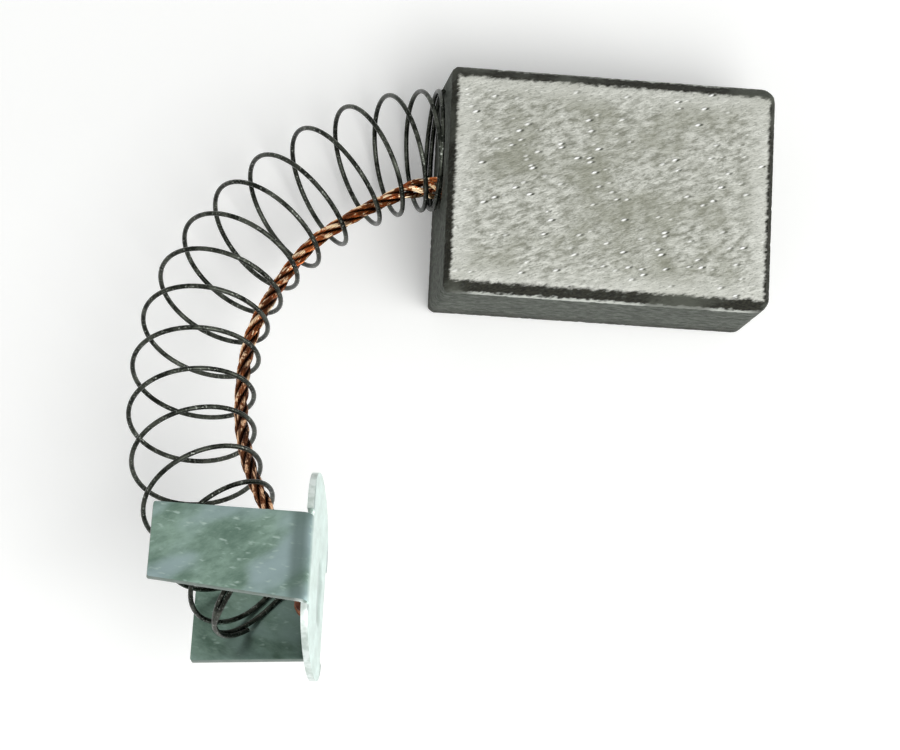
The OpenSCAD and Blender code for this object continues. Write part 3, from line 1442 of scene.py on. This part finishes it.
@dataclass
class Terminal:
    """Folded sheet terminal: a plate with rounded ends and two legs bent back.

    Its own axes: +X is the plate's outward normal, +Y runs up the plate and +Z
    points to the near leg.
    """

    class Leg(Enum):
        """Which leg: +1 is the near one, -1 the far one."""

        NEAR = 1
        FAR = -1

    place: tuple[float, float, float] = (-32.9, -31.5, 16.4)
    turn: tuple[float, float, float] = (-20, -11, 1.5)
    sheet: float = 0.45
    wide: float = 10.0
    up: float = 4.4
    down: float = 3.4
    cap_up: float = 3.5
    cap_down: float = 2.7
    leg_root: float = 6.4
    leg_len: tuple[float, float] = (10.6, 9.1)
    leg_tip: tuple[float, float] = (5.5, 6.2)
    splay: tuple[float, float] = (13, 5)
    bend_in: float = 0.35
    relief: float = 0.3
    tip_cut: float = 0.12
    plate_points: int = 29
    ear_points: int = 3
    leg_points: int = 22
    bend_points: int = 9
    edge_soft: float = 0.05
    mark_depth: float = 0.12
    mark_mid: tuple[float, float] = (0.2, -1.2)
    mark_len: float = 4.6
    mark_wid: float = 2.2
    mark_flat: float = 0.75
    mark_slope: float = 0.3
    finish: Finish = ZincPlate()
    # The inside of the fold wears darker copies of the colours: painted shade.
    inner_shaded_finish: Finish = ZincPlate(
        name="zinc_plated_steel_inside_shaded",
        deep="#4e6458",
        pale="#7e968a",
        fleck="#97aca2",
        blue="#778c87",
        plate_sheen_share=0.0,
        mark_share=0.0,
    )
    edge_finish: Finish = ShearedEdge()

    def matrix(self) -> Matrix:
        """Pose of the terminal's own axes, in millimetres."""
        angles = [math.radians(a) for a in self.turn]
        return Matrix.Translation(self.place) @ Euler(angles, "XYZ").to_matrix().to_4x4()

    def placed(self, rows: np.ndarray) -> np.ndarray:
        """Takes points from the terminal's own axes to the part's."""
        pose = np.array(self.matrix())
        return np.asarray(rows) @ pose[:3, :3].T + pose[:3, 3]

    def half_width(self, y: float) -> float:
        """Half the plate's width at height y."""
        past = max(y - self.up, 0) / self.cap_up + max(-self.down - y, 0) / self.cap_down
        return self.wide / 2 * math.sqrt(max(1 - min(past, 1) ** 2, 0.0))

    def rows_up(self) -> list[float]:
        """Heights of the rows of the plate's grid.

        Returns:
            Heights in millimetres, from the lowest up.
        """
        notch = self.leg_root / 2 + self.relief
        tab = self.leg_root / 2
        degrees = (12, 24, 36, 48, 58, 67, 75, 81, 86, 89)
        cap = [math.sin(math.radians(a)) for a in degrees]
        return [
            *[-self.down - self.cap_down * s for s in reversed(cap)],
            -max(notch, self.down),
            *np.linspace(-tab, tab, 15),
            notch,
            *np.linspace(notch, self.up, 4)[1:],
            *[self.up + self.cap_up * s for s in cap],
        ]

    def sunk(self, y: float, w: float) -> float:
        """Depth of the electrode mark at a point of the plate.

        Args:
            y: Height on the plate.
            w: Distance from its upright middle line.

        Returns:
            The depth in millimetres, as a negative number.
        """
        dy = max(abs(y - self.mark_mid[0]) - (self.mark_len - self.mark_wid) / 2, 0)
        gap = math.hypot(dy, w - self.mark_mid[1]) / (self.mark_wid / 2)
        past = np.array((gap - self.mark_flat) / self.mark_slope)
        return -self.mark_depth * (1 - float(ease(past)))

    def leg_rows(self, leg: Leg) -> list[tuple[float, float, float, float]]:
        """Rows across one leg's outer face, from the start of its bend to its tip.

        Args:
            leg: Which leg.

        Returns:
            For each row x, z away from the middle, the run along the flat strip
            and half the leg's width.
        """
        which = 0 if leg is Terminal.Leg.NEAR else 1
        bend, tab, cut = self.sheet + self.bend_in, self.leg_root / 2, self.tip_cut
        inner = self.wide / 2 - bend
        turn, splay = 90 - self.splay[which], math.radians(self.splay[which])
        spots = [
            (bend * (math.cos(a) - 1), inner + bend * math.sin(a), inner + bend * a)
            for a in np.radians(np.linspace(0, turn, self.bend_points))[1:].tolist()
        ]
        x0, z0, u0 = spots[-1]
        reach = (self.leg_len[which] - bend) / math.cos(splay)
        way = (-math.sin(math.radians(turn)), math.cos(math.radians(turn)))
        even = np.linspace(0, reach - cut, self.leg_points)[1:]
        stops = [*even, reach - cut * 0.4, reach]
        spots += [(x0 + s * way[0], z0 + s * way[1], u0 + s) for s in stops]
        halves = [
            tab + (self.leg_tip[which] / 2 - tab) * max(u - u0, 0) / reach
            for _, _, u in spots
        ]
        halves[-1] -= cut
        halves[-2] -= cut * 0.3
        return [(*spot, half) for spot, half in zip(spots, halves)]

    def build(self) -> bpy.types.Object:
        """Lays out the outer face, gives it the sheet's wall and softens its edges.

        Returns:
            The terminal.
        """
        shape = bmesh.new()
        strip = shape.loops.layers.uv.new("strip")
        flat: dict[bmesh.types.BMVert, tuple[float, float]] = {}

        def corner(x: float, y: float, z: float, u: float) -> bmesh.types.BMVert:
            """Adds a vertex and notes its place on the flat strip.

            Args:
                x: Depth, out of the plate.
                y: Height on the plate.
                z: Distance from the middle, to the near leg.
                u: The same distance along the flat strip.

            Returns:
                The vertex.
            """
            vert = shape.verts.new(Vector((x, y, z)) * MM)
            flat[vert] = (u, y)
            return vert

        def skin(a: list, b: list) -> None:
            """Adds the quads between two rows of vertices.

            Args:
                a: Vertices of one row, None where it has a gap.
                b: Vertices of the next row.
            """
            for i in range(len(a) - 1):
                if None not in (a[i], a[i + 1], b[i], b[i + 1]):
                    shape.faces.new((a[i], a[i + 1], b[i + 1], b[i]))

        inner = self.wide / 2 - self.sheet - self.bend_in
        tab = self.leg_root / 2
        heights = self.rows_up()
        grid: list[list] = []
        for y in heights:
            half = self.half_width(y)
            full = abs(y) > tab + self.relief - TINY
            narrowed = full and half <= self.wide / 2 - TINY
            near = inner * half / (self.wide / 2) if narrowed else inner
            middles = np.linspace(-near, near, self.plate_points)
            ears = np.linspace(near, half, self.ear_points + 1)[1:]
            none = [None] * self.ear_points
            line = [corner(0, y, -e, -e) for e in reversed(ears)] if full else list(none)
            line += [corner(self.sunk(y, w), y, w, w) for w in middles]
            line += [corner(0, y, e, e) for e in ears] if full else none
            grid.append(line)
        for a, b in zip(grid, grid[1:]):
            skin(a, b)

        tab_rows = [i for i, y in enumerate(heights) if abs(y) <= tab + TINY]
        for leg in Terminal.Leg:
            side = leg.value
            column = -1 - self.ear_points if side > 0 else self.ear_points
            previous = [grid[i][column] for i in tab_rows]
            for x, z, u, half in self.leg_rows(leg):
                here = [
                    corner(x, heights[i] / tab * half, side * z, side * u)
                    for i in tab_rows
                ]
                if side > 0:
                    skin(previous, here)
                else:
                    skin(here, previous)
                previous = here
        for face in shape.faces:
            for loop in face.loops:
                loop[strip].uv = flat[loop.vert]
        bmesh.ops.recalc_face_normals(shape, faces=shape.faces)
        middle = min(shape.faces, key=lambda f: f.calc_center_median().length)
        if middle.normal.x < 0:
            bmesh.ops.reverse_faces(shape, faces=shape.faces)
        data = bpy.data.meshes.new("folded_terminal")
        shape.to_mesh(data)
        shape.free()
        obj = bpy.data.objects.new("folded_terminal", data)
        bpy.context.scene.collection.objects.link(obj)
        for finish in (self.finish, self.inner_shaded_finish, self.edge_finish):
            data.materials.append(finish.material())
        wall = obj.modifiers.new("wall", "SOLIDIFY")
        wall.thickness, wall.offset, wall.use_even_offset = self.sheet * MM, -1, True
        wall.material_offset, wall.material_offset_rim = 1, 2
        soft = obj.modifiers.new("edges", "BEVEL")
        soft.width, soft.segments = self.edge_soft * MM, 2
        soft.limit_method, soft.angle_limit = "ANGLE", math.radians(50)
        made_plain(obj)
        scale = Matrix.Scale(MM, 4)
        obj.data.transform(scale @ self.matrix() @ scale.inverted())
        return hand_over(smoothed(obj, 40), self.finish, ("terminal_sheet",))


@dataclass
class Spring:
    """Round-wire coil, bent over between the block and the terminal."""

    od: float = 9.1
    wire: float = 0.35
    closed_block: float = 1.4
    closed_clip: float = 1.1
    closed_pitch: float = 0.37
    phase: float = 79.0
    block_end: float = -24.0
    seat_gap: float = 0.01
    steps: int = 56
    sides: int = 14
    finish: Finish = SpringSteel()

    def spine(self) -> Spine:
        """Centre line of the open coil, one point every two turns.

        Returns:
            The line, with turns as its parameter.
        """
        closed = self.closed_block * self.closed_pitch
        seat = self.block_end - self.wire / 2 - self.seat_gap - closed
        points = [
            (seat, 3.0, 0),
            (-29.5, 1.6, 0.5),
            (-34.8, -2.2, 1.4),
            (-38.7, -6.7, 2.9),
            (-41.0, -12.2, 5.0),
            (-41.7, -18.7, 7.8),
            (-40.7, -25.0, 11.3),
            (-37.7, -30.4, 14.6),
            (-36.8, -31.2, 15.1),
        ]
        knots = np.array([-1.6, 1, 3, 5, 7, 9, 11, 13, 14.2])
        return Spine(np.array(points), knots, np.array([-0.4, 0, 0]))

    def middle(self, spine: Spine, u: float) -> np.ndarray:
        """Point of the centre line, closed turns included.

        Args:
            spine: Centre line of the open coil.
            u: Turn, before the first or past the last in the closed turns.

        Returns:
            The point in millimetres.
        """
        first, last = spine.knots[0], spine.knots[-1]
        if u < first:
            return spine.points[0] + (u - first) * self.closed_pitch * unit(spine.lead)
        if u > last:
            way = unit(spine.slope(len(spine.points) - 1))
            return spine.points[-1] + (u - last) * self.closed_pitch * way
        return spine.at(u)

    def build(self, wires: WoundWires) -> bpy.types.Object:
        """Winds the wire about its centre line.

        Args:
            wires: The tree that winds wires.

        Returns:
            The spring.
        """
        spine = self.spine()
        first = spine.knots[0] - self.closed_block
        last = spine.knots[-1] + self.closed_clip
        turns = np.linspace(first, last, math.ceil((last - first) * self.steps) + 1)
        line = Line(np.array([self.middle(spine, u) for u in turns]))
        obj = wires.wind(
            "bent_coil",
            line,
            turns + self.phase / 360,
            (self.od - self.wire) / 2,
            line.points,
            self.finish,
            wires=1,
            wire_radius=self.wire / 2 * MM,
            sides=self.sides,
            ripple=0.0,
            ripple_scale=1.0,
            seed=1,
        )
        return hand_over(obj, self.finish, ("coil_spring",))


@dataclass
class Shunt:
    """Copper rope of four strands, each a bunch of fine wires.

    Real wires are 0.05 mm; they are drawn 0.1 mm thick so that they show.
    """

    terminal: Terminal
    dia: float = 1.0
    strands: int = 4
    lay: float = 6.6
    flare: float = 1.7
    flare_end: float = 4.5
    flare_run: float = 4.0
    wires: int = 9
    wire_lay: float = 4.4
    wire_swell: float = 1.1
    wire_sides: int = 7
    ripple: float = 0.05
    ripple_scale: float = 900.0
    step: float = 0.17
    finish: Finish = StrandedCopper()

    def spine(self) -> Spine:
        """Route of the rope, from inside the hole to the weld.

        Returns:
            The route, with its running length as the parameter.
        """
        free = [
            (-19.5, 0, 0),
            (-22.5, 0, 0),
            (-25.5, 0.1, -0.1),
            (-28.4, -1.3, 0.2),
            (-31.0, -3.0, 0.8),
            (-33.6, -5.3, 1.6),
            (-35.9, -8.8, 3.0),
            (-37.6, -12.7, 5.0),
            (-38.2, -17.0, 7.3),
            (-38.1, -20.4, 9.4),
            (-37.4, -23.6, 11.9),
        ]
        clip = [
            (-3.6, 5.6, -0.4),
            (-2.6, 3.6, -0.7),
            (-1.6, 2.1, -0.7),
            (-1.05, 0.9, -0.6),
            (-1.0, 0.0, -0.6),
        ]
        points = np.vstack([np.array(free), self.terminal.placed(np.array(clip))])
        return Spine(points, Line(points).run(), np.array([-1.0, 0, 0]))

    def build(self, wires: WoundWires) -> list[bpy.types.Object]:
        """Lays the four strands.

        Args:
            wires: The tree that winds wires.

        Returns:
            One piece for each strand.
        """
        spine = self.spine()
        total = spine.knots[-1]
        runs = np.linspace(0, total, math.ceil(total / self.step) + 1)
        rope = Line(np.array([spine.at(s) for s in runs]))
        radius = self.dia / 2 / (1 + 1 / math.sin(math.pi / self.strands))
        closing = ease((runs - self.flare_end) / self.flare_run)
        open_by = (self.flare - self.dia) / 2 * (1 - closing)
        orbit = self.dia / 2 - radius + open_by
        ring = math.sin(math.pi / self.wires)
        wire = radius * ring / (1 + ring)
        made = []
        for k in range(self.strands):
            strand = Line(rope.around(runs / self.lay + k / self.strands, orbit))
            obj = wires.wind(
                f"rope_strand_{k + 1}",
                strand,
                -runs / self.wire_lay,
                radius - wire,
                rope.points,
                self.finish,
                wires=self.wires,
                wire_radius=wire * self.wire_swell * MM,
                sides=self.wire_sides,
                ripple=self.ripple * MM,
                ripple_scale=self.ripple_scale,
                seed=k + 3,
            )
            made.append(hand_over(obj, self.finish, (f"shunt_strand_{k + 1}",)))
        return made


@dataclass
class Weld:
    """The rope's end, flattened and welded to the plate."""

    terminal: Terminal
    high: float = 1.15
    long: float = 2.8
    wide: float = 2.0
    rib: float = 0.05
    mid: tuple[float, float] = (-0.4, -0.6)
    points: tuple[int, int] = (41, 33)
    finish: Finish = WeldedCopper()

    def height(self, v: float, w: float) -> float:
        """Height of the weld over the plate's inner face.

        Args:
            v: Place along the weld, from -1 to 1.
            w: Place across it, from -1 to 1.

        Returns:
            The height in millimetres.
        """
        crown = (1 - abs(v) ** 5) ** 0.4 * (1 - abs(w) ** 4) ** 0.4
        rough = noise.noise(Vector((3 * v, 3 * w, 0.4)))
        ribs = self.rib * math.cos(13 * w + 1.6 * v) + self.rib * rough
        return crown * (self.high - 2 * self.rib + ribs - 0.2 * max(v, 0) ** 2)

    def build(self) -> bpy.types.Object:
        """Lays a ribbed loaf on the plate's inner face.

        Returns:
            The weld.
        """
        nv, nw = self.points
        rows = [
            [
                -self.terminal.sheet - self.height(v, w),
                self.mid[0] + v * self.long / 2 * (1 - 0.04 * w * w),
                self.mid[1] + w * self.wide / 2 * (1 - 0.08 * v * v),
            ]
            for v in np.linspace(-1, 1, nv)
            for w in np.linspace(-1, 1, nw)
        ]
        faces = quads(nv, nw, closed=False)
        rim = (
            list(range(nw))
            + [i * nw + nw - 1 for i in range(1, nv)]
            + [(nv - 1) * nw + j for j in range(nw - 2, -1, -1)]
            + [i * nw for i in range(nv - 2, 0, -1)]
        )
        faces.append(rim[::-1])
        placed = self.terminal.placed(np.array(rows))
        nugget = turned_out(mesh_object("weld_nugget", placed, faces))
        return hand_over(smoothed(nugget, 60), self.finish, ("shunt_weld",))


# ---------------------------------------------------------------------- studio


@dataclass(frozen=True)
class Softbox:
    """Square soft lamp that faces the part.

    Attributes:
        name: Name of the lamp.
        at: Place in millimetres.
        size: Side in millimetres.
        watts: Its power.
    """

    name: str
    at: tuple[float, float, float]
    size: float
    watts: float


@dataclass
class Studio:
    """White card, soft lamps and the camera."""

    floor_size: float = 3.0
    floor_level: float = -5.0
    lens: float = 140.0
    camera_at: tuple[float, float, float] = (-52.5, -54.9, 251.1)
    camera_right: tuple[float, float, float] = (0.9911, 0.0454, 0.1254)
    camera_up: tuple[float, float, float] = (-0.0647, 0.986, 0.154)
    sky: str = "#d9dbdc"
    sky_strength: float = 0.5
    aim: tuple[float, float, float] = (-22, -15, 5)
    lamps: tuple[Softbox, ...] = (
        Softbox("top_softbox", (60, -130, 300), 200, 0.62),
        Softbox("right_softbox", (330, -60, 90), 240, 0.6),
        Softbox("left_fill", (-260, -220, 200), 300, 0.15),
    )

    def card(self) -> None:
        """Lays the card under the part."""
        side = self.floor_size / 2 / MM
        z = self.floor_level
        rows = [(-side, -side, z), (side, -side, z), (side, side, z), (-side, side, z)]
        card = mesh_object("white_card", np.array(rows), [[0, 1, 2, 3]])
        card.data.materials.append(PaleFloor().material())

    def hang(self, box: Softbox) -> None:
        """Hangs a lamp and points it at the part.

        Args:
            box: The lamp to hang.
        """
        data = bpy.data.lights.new(box.name, "AREA")
        data.shape, data.size, data.energy = "SQUARE", box.size * MM, box.watts
        lamp = bpy.data.objects.new(box.name, data)
        bpy.context.scene.collection.objects.link(lamp)
        lamp.location = Vector(box.at) * MM
        way = Vector(self.aim) * MM - lamp.location
        lamp.rotation_euler = way.to_track_quat("-Z", "Y").to_euler()

    def world(self) -> None:
        """Pale, even surroundings."""
        world = bpy.data.worlds.new("pale_room")
        world.use_nodes = True
        tree = world.node_tree
        tree.nodes.clear()
        put = partial(add, tree)
        light = put(
            "ShaderNodeBackground", {"Color": self.sky, "Strength": self.sky_strength}
        )
        white = put("ShaderNodeBackground", {"Color": "#f6f6f4", "Strength": 1.0})
        path = put("ShaderNodeLightPath").outputs
        mirrored = put(
            MATH,
            {0: path["Is Glossy Ray"], 1: path["Is Transmission Ray"]},
            operation="MAXIMUM",
        )
        seen = put(MATH, {0: mirrored, 1: path["Is Camera Ray"]}, operation="MAXIMUM")
        both = put("ShaderNodeMixShader", {0: seen, 1: light, 2: white})
        put("ShaderNodeOutputWorld", {"Surface": both})
        bpy.context.scene.world = world

    def camera(self) -> None:
        """Sets the camera at its place, level with its own right and up."""
        data = bpy.data.cameras.new("camera")
        data.lens, data.sensor_width = self.lens, 36.0
        data.clip_start, data.clip_end = 0.01, 10.0
        cam = bpy.data.objects.new("camera", data)
        bpy.context.scene.collection.objects.link(cam)
        right = Vector(self.camera_right).normalized()
        back = right.cross(Vector(self.camera_up)).normalized()
        up = back.cross(right)
        turn = Matrix((right, up, back)).transposed().to_4x4()
        cam.matrix_world = Matrix.Translation(Vector(self.camera_at) * MM) @ turn
        bpy.context.scene.camera = cam

    def build(self) -> None:
        """Sets up everything round the part."""
        bpy.context.scene.view_settings.view_transform = "Standard"
        self.card()
        self.world()
        for box in self.lamps:
            self.hang(box)
        self.camera()


def main() -> None:
    """Builds the studio and every piece."""
    Studio().build()
    wires = WoundWires()
    terminal = Terminal()
    CarbonBlock().build()
    TampedFilling().build()
    terminal.build()
    Spring().build(wires)
    Shunt(terminal).build(wires)
    Weld(terminal).build()


if __name__ == "__main__":
    main()
